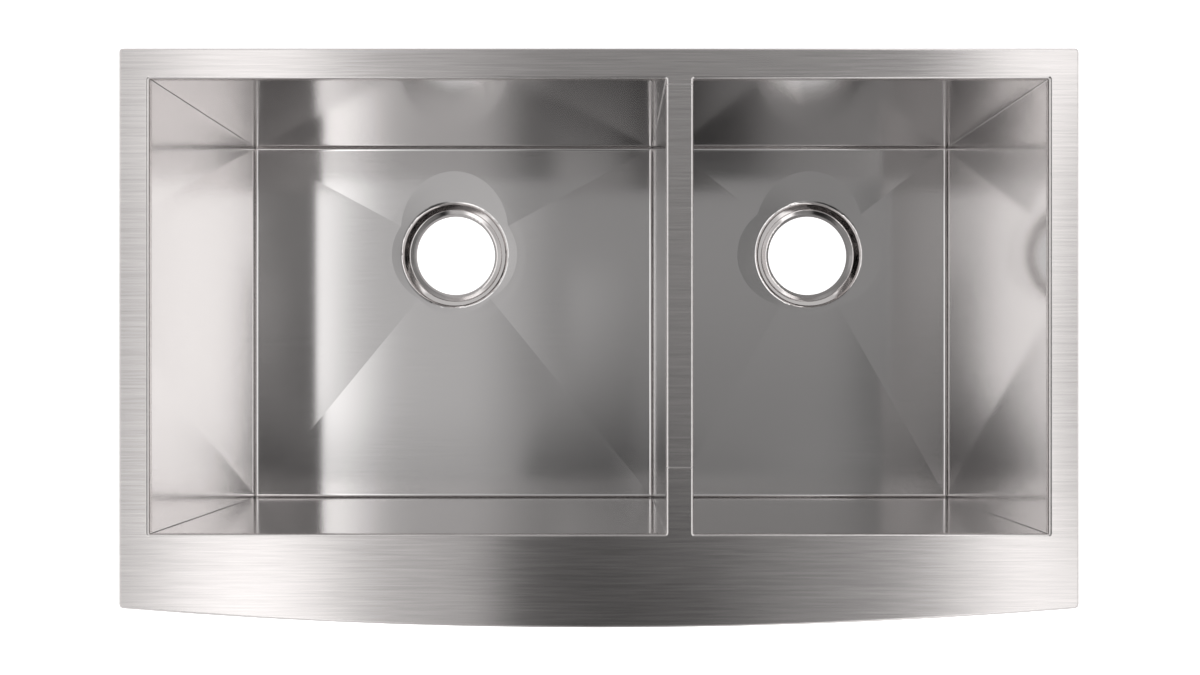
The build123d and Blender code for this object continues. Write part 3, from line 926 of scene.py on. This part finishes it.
@dataclass
class Brackets:
    """Folded brackets, the tie channel and the clip rails, with their spot welds."""

    nugget_radius: float = 0.0026
    nugget_height: float = 0.00022
    nugget_sides: int = 20
    nugget_rim: float = 0.25
    nugget_slope: float = 0.2
    nugget_dip: float = 0.7
    nugget_ease: float = 0.45
    foot_level: float = 0.2510
    foot_rows: tuple[float, ...] = (-0.1855, -0.2165)
    foot_reach: float = 0.360
    foot_pitch: float = 0.060
    flange_face: float = -0.1737
    flange_middles: tuple[float, ...] = (-0.2765, 0.0090, 0.2945)
    flange_heights: tuple[float, ...] = (0.050, 0.095, 0.140, 0.185, 0.215)

    def nugget(self) -> Bench:
        """Makes one spot weld lying on the origin, face up.

        Returns:
            The spot weld on the bench.
        """
        deselect()
        height = self.nugget_height
        radius, sides = self.nugget_radius, self.nugget_sides
        outermost = radius * math.cos(math.pi / sides) - TOUCHING
        bpy.ops.mesh.primitive_cylinder_add(
            vertices=sides, radius=radius, depth=height, location=(0, 0, height / 2))
        bench = Bench("nugget")
        with bench.edit():
            bench.pick_faces(lambda middle, normal: normal.z > ALIGNED)
            bpy.ops.mesh.inset(thickness=self.nugget_rim * radius, depth=0)
            bpy.ops.mesh.inset(thickness=self.nugget_slope * radius, depth=-self.nugget_dip * height)
            bench.pick_edges(lambda middle, way: height - middle.z < TOUCHING
                             and middle.to_2d().length > outermost)
            bpy.ops.mesh.bevel(offset=self.nugget_ease * height, segments=2)
        return bench

    def spot_weld(self, name: str, facing: Facing, places: Sequence[Place], metal: Material) -> None:
        """Sets a row of spot welds on one face.

        Args:
            name: The row's name.
            facing: Where the face looks.
            places: Middle of each weld on the face.
            metal: The weld's finish.
        """
        bench = self.nugget()
        bench.stand(facing, places[0])
        bench.smooth(angle=50)
        first = Vector(places[0])
        row = [bench.item] + [bench.copy_to("nugget", Vector(place) - first) for place in places[1:]]
        fix_to_sink(join_pieces(name, row), metal)

    def build(self, metal: Material) -> None:
        """Finishes the brackets and adds their spot welds.

        Args:
            metal: The weld's finish.
        """
        mill = MILL_STEEL.material("bracket_steel")
        nodes = ["divider_tie_channel", "front_deck_stiffener"]
        nodes += [f"clip_rail_{name}" for name in ("left", "right", "back")]
        nodes += [f"apron_brace_{name}" for name in ("left", "middle", "right")]
        for node in nodes:
            dress(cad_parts[node], mill)
            log.info("%s: mill finish", node)
        count = round(2 * self.foot_reach / self.foot_pitch)
        along = [self.foot_pitch * (i - count / 2) for i in range(count + 1)]
        feet = [(x, y, self.foot_level) for y in self.foot_rows for x in along]
        self.spot_weld("stiffener_spot_welds", Facing.DOWN, feet, metal)
        flanges = [(x, self.flange_face, z) for x in self.flange_middles for z in self.flange_heights]
        self.spot_weld("brace_spot_welds", Facing.FRONT, flanges, metal)


@dataclass
class HoldDownClips:
    """Six clips that draw the sink down: threaded bolt, nut, washer and claw."""

    places: tuple[str, ...] = (
        "left_front", "left_back", "back_left", "back_right", "right_front", "right_back")
    root: float = 0.00262
    crest: float = 0.00315
    pitch: float = 0.00127
    point: float = 0.0012
    point_taper: float = 0.72
    head_thickness: float = 0.0025
    head_ease: float = 0.0004
    steps: int = 16

    def bolt(self, low: Vector, high: Vector) -> Bench:
        """Turns one square-headed bolt.

        Args:
            low: Lowest corner of the bolt's node.
            high: Highest corner of the bolt's node.

        Returns:
            The bolt on the bench.
        """
        middle = (low + high) / 2
        head_bottom = high.z - self.head_thickness
        turns = math.floor((head_bottom - low.z) / self.pitch)
        deselect()
        first_turn = head_bottom - turns * self.pitch + self.pitch / 2
        bpy.ops.mesh.primitive_circle_add(
            vertices=4, radius=1, location=(self.root, 0, first_turn), rotation=(math.pi / 2, 0, 0))
        bpy.context.object.scale = (self.crest - self.root, self.pitch / 2, 1)
        bench = Bench("bolt")
        with bench.edit():
            bench.pick("VERT", lambda vertex: vertex.co.x < self.root - TOUCHING)
            bpy.ops.mesh.delete(type="VERT")
        screw = bench.item.modifiers.new("thread", "SCREW")
        screw.angle = math.tau
        screw.screw_offset = self.pitch
        screw.iterations = turns
        screw.steps = self.steps
        screw.use_merge_vertices = True
        bpy.ops.object.modifier_apply(modifier=screw.name)
        with bench.edit():
            bench.pick_all()
            bpy.ops.mesh.remove_doubles(threshold=MERGED)
            bpy.ops.mesh.select_all(action="DESELECT")
            bpy.ops.mesh.select_non_manifold()
            bpy.ops.mesh.fill()
        lowest = min(vertex.co.z for vertex in bench.item.data.vertices)
        for vertex in bench.item.data.vertices:
            vertex.co.z += low.z - lowest
            above = (vertex.co.z - low.z) / self.point
            taper = min(1.0, self.point_taper + (1 - self.point_taper) * above)
            vertex.co.x = middle.x + vertex.co.x * taper
            vertex.co.y = middle.y + vertex.co.y * taper
        bench.smooth(angle=28)
        head = Bench.cube("head", (low.x, low.y, head_bottom), high)
        with head.edit():
            head.pick_all()
            bpy.ops.mesh.bevel(offset=self.head_ease, segments=2)
        head.smooth()
        bench.item = join_pieces("bolt", [bench.item, head.item])
        return bench

    def build(self) -> None:
        """Plates every clip and puts a threaded bolt in the place of each plain one."""
        zinc = ZINC_PLATE.material("zinc_hardware")
        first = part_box(f"clip_bolt_{self.places[0]}")
        bench = self.bolt(*first)
        for place in self.places:
            for kind in ("nut", "washer", "claw"):
                dress(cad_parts[f"clip_{kind}_{place}"], zinc)
            node = f"clip_bolt_{place}"
            low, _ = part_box(node)
            bolt = bench.copy_to(f"threaded_bolt_{place}", low - first[0])
            dress(bolt, zinc)
            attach(bolt, node)
            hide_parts(node)
            log.info("%s: %d faces", bolt.name, len(bolt.data.polygons))
        bpy.data.objects.remove(bench.item)


# ------------------------ studio


@dataclass(frozen=True)
class LightZone:
    """Soft-edged part of the sky, in degrees from straight up to its left, right, front and back."""

    left: float
    right: float
    front: float
    back: float
    edge: float
    glow: float


@dataclass
class Studio:
    """Plain pale floor, soft light from far away, a softbox, two cards and the camera over the sink."""

    camera_place: tuple[float, float, float] = (0.0073, -0.0327, 1.040)
    lens: float = 27.06
    sensor_width: float = 36.0
    shift: Span = (-0.0061, 0.0316)
    nearest: float = 0.01
    floor_size: float = 16.0
    floor_level: float = -0.0005
    floor_glow: float = 0.95
    floor_dark: Colour = (0.90, 0.90, 0.90)
    floor_light: Colour = (0.93, 0.93, 0.93)
    floor_clouds: Place = (3.0, 3.0, 3.0)
    horizon: Fade = Fade(-0.10, 0.10, 0.75, 0.33)
    darkest: float = 0.02
    camera_glow: float = 0.93
    zones: tuple[LightZone, ...] = tuple(LightZone(*sizes) for sizes in (
        (22.2, 31.0, -70.0, 70.0, 1.9, 1.50),
        (16.5, 24.0, -16.0, -8.0, 2.0, 0.30),
        (11.0, 24.0, -16.0, -9.0, 2.0, 0.10),
        (15.5, 20.0, -8.0, 13.5, 1.5, -0.12),
        (18.5, 23.0, 14.0, 70.0, 1.5, -0.25),
        (-30.0, 30.0, 15.5, 28.0, 1.5, -0.05),
        (-5.5, 10.0, -23.0, -6.0, 2.5, -0.20),
        (-4.0, 19.0, -30.0, 3.0, 4.0, -0.06),
        (-5.5, 8.5, -33.0, -18.5, 2.0, -0.22),
        (21.0, 31.0, -12.0, -4.5, 2.0, -0.35),
        (-21.5, -16.5, -10.0, 3.0, 1.5, -0.28),
        (-100.0, -27.0, -100.0, 100.0, 1.6, 0.30),
        (31.0, 100.0, -100.0, 100.0, 2.0, 0.55),
        (-100.0, -38.0, -100.0, 100.0, 4.0, 0.45),
        (38.0, 100.0, -100.0, 100.0, 4.0, 0.25),
        (-38.0, 38.0, -100.0, -32.0, 4.0, 0.05),
        (-38.0, 38.0, 32.0, 100.0, 4.0, 0.20),
    ))
    softbox_height: float = 3.0
    softbox_core: Band = Band(-1.75, -1.08, 0.17)
    softbox_core_share: float = 0.8
    softbox_rim: Band = Band(-1.85, -0.45, 0.17)
    softbox_rim_share: float = 0.2
    softbox_glow: Fade = Fade(-0.75, -0.50, 1.95, 1.55)
    softbox_gap: Band = Band(-0.46, -0.22, 0.10)
    softbox_gap_glow: float = -0.70
    card_height: float = 1.0
    card_left: Fade = Fade(-0.21, -0.15)
    card_right: Fade = Fade(0.0, 0.10, 1.0, 0.0)
    card_depth: Band = Band(-0.60, 0.20, 0.06)
    card_skirt: Fade = Fade(-0.32, -0.25, 0.15, 0.0)
    card_inset: Fade = Fade(-0.20, -0.02, 0.0, 0.07)
    card_glow: Fade = Fade(-0.42, 0.20, 0.02, 0.40)
    card_tilt: Fade = Fade(-0.18, 0.12, 1.2, 0.75)
    side_card_left: Fade = Fade(0.765, 0.785)
    side_card_depth: Band = Band(-0.28, 0.42, 0.06)
    side_card_glow: float = 0.50

    def light_world(self) -> None:
        """Lights the scene from far away, so that only the direction counts; the camera sees it plain."""
        world = bpy.data.worlds.new("studio")
        bpy.context.scene.world = world
        world.use_nodes = True
        sheet = NodeSheet(world.node_tree)
        x, y, z = sheet.split(sheet.add("ShaderNodeTexCoord").outputs["Generated"])
        across, along = (sheet.math("DEGREES", sheet.math("ARCTAN2", side, z)) for side in (x, y))
        glow: Input = sheet.step(z, self.horizon)
        for zone in self.zones:
            inside = sheet.times(sheet.window(across, Band(zone.left, zone.right, zone.edge)),
                                 sheet.window(along, Band(zone.front, zone.back, zone.edge)))
            glow = sheet.times(inside, zone.glow, glow)
        glow = sheet.math("MAXIMUM", glow, self.darkest)
        seen = sheet.add("ShaderNodeLightPath").outputs["Is Camera Ray"]
        glow = sheet.step(seen, Fade(0.0, 1.0, glow, self.camera_glow))
        grey = sheet.join(glow, glow, glow)
        background = sheet.add("ShaderNodeBackground", {"Color": grey, "Strength": 1.0})
        sheet.add("ShaderNodeOutputWorld", {"Surface": background.outputs[0]})

    def hang_sheet(self, name: str, height: float, share: Input, glow: Input, sheet: NodeSheet) -> None:
        """Wires up a see-through light sheet and hangs it; only reflections show it.

        Args:
            name: The sheet's name and that of its material.
            height: How high it hangs.
            share: How much of the sheet shows, from 0 for clear to 1 for solid.
            glow: How bright the solid part is.
            sheet: The nodes of its material.
        """
        sheet.cover_partly(share, sheet.add("ShaderNodeEmission", {"Color": (1, 1, 1, 1), "Strength": glow}))
        bpy.ops.mesh.primitive_plane_add(size=2.0 * height, location=(0, 0, height))
        item = Bench(name).item
        dress(item, bpy.data.materials[name])
        for rays in ("camera", "diffuse", "transmission", "volume_scatter", "shadow"):
            setattr(item, f"visible_{rays}", False)

    def hang_softbox(self) -> None:
        """Hangs the long softbox on the left, dimmer at one place, with its dim rim towards the middle."""
        _, sheet = new_material("studio_softbox")
        x, y, _ = sheet.split(sheet.place)
        core = sheet.window(x, self.softbox_core)
        rim = sheet.times(sheet.window(x, self.softbox_rim), self.softbox_rim_share)
        share = sheet.times(core, self.softbox_core_share, rim)
        gap = sheet.window(y, self.softbox_gap)
        glow = sheet.times(gap, self.softbox_gap_glow, sheet.step(y, self.softbox_glow))
        self.hang_sheet("studio_softbox", self.softbox_height, share, glow, sheet)

    def hang_card(self) -> None:
        """Hangs a dim card at the camera's height, darker to the front, and a grey one far to the right."""
        _, sheet = new_material("studio_card")
        x, y, _ = sheet.split(sheet.place)
        past_left = sheet.step(sheet.math("SUBTRACT", x, sheet.step(y, self.card_inset)), self.card_left)
        till_right = sheet.step(sheet.math("SUBTRACT", x, sheet.step(y, self.card_skirt)), self.card_right)
        over = sheet.times(sheet.times(past_left, sheet.window(y, self.card_depth)), till_right)
        aside = sheet.times(sheet.step(x, self.side_card_left), sheet.window(y, self.side_card_depth))
        glow = sheet.times(sheet.step(y, self.card_glow), sheet.step(x, self.card_tilt))
        glow = sheet.times(aside, self.side_card_glow, glow)
        self.hang_sheet("studio_card", self.card_height, sheet.math("MAXIMUM", over, aside), glow, sheet)

    def lay_floor(self) -> None:
        """Lays the pale floor that the sink stands on, clear when it is seen from below."""
        bpy.ops.mesh.primitive_plane_add(size=self.floor_size, location=(0, 0, self.floor_level))
        floor = Bench("studio_floor").item
        material, sheet = new_material("pale_floor")
        mottle = sheet.noise(self.floor_clouds)
        shader = sheet.add("ShaderNodeBsdfPrincipled", {
            "Base Color": sheet.tone(mottle, self.floor_dark, self.floor_light), "Roughness": 0.9,
            "Emission Color": (1, 1, 1, 1), "Emission Strength": self.floor_glow})
        below = sheet.add("ShaderNodeNewGeometry").outputs["Backfacing"]
        sheet.cover_partly(sheet.math("SUBTRACT", 1.0, below), shader)
        dress(floor, material)
        floor.visible_glossy = False

    def set_camera(self) -> None:
        """Hangs the camera above the sink, looking straight down."""
        data = bpy.data.cameras.new("camera")
        data.lens = self.lens
        data.sensor_width = self.sensor_width
        data.shift_x, data.shift_y = self.shift
        data.clip_start = self.nearest
        camera = bpy.data.objects.new("camera", data)
        bpy.context.collection.objects.link(camera)
        camera.location = self.camera_place
        bpy.context.scene.camera = camera

    def build(self) -> None:
        """Sets up light, floor and camera."""
        self.light_world()
        self.hang_softbox()
        self.hang_card()
        self.lay_floor()
        self.set_camera()
        bpy.context.scene.view_settings.view_transform = "Standard"
        log.info("studio: light, floor and camera")


def main() -> None:
    """Builds and dresses every sub-assembly, then the studio."""
    logging.basicConfig(level=logging.INFO, format="%(name)s: %(message)s")
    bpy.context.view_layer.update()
    metal = WELD_METAL.material("weld_metal")
    Deck().finish()
    Bowl("large_bowl", ripple=LARGE_RIPPLE).build(metal)
    Bowl("small_bowl").build(metal)
    SoundPads().build()
    RimSeal().build()
    Brackets().build(metal)
    HoldDownClips().build()
    Studio().build()


if __name__ == "__main__":
    main()
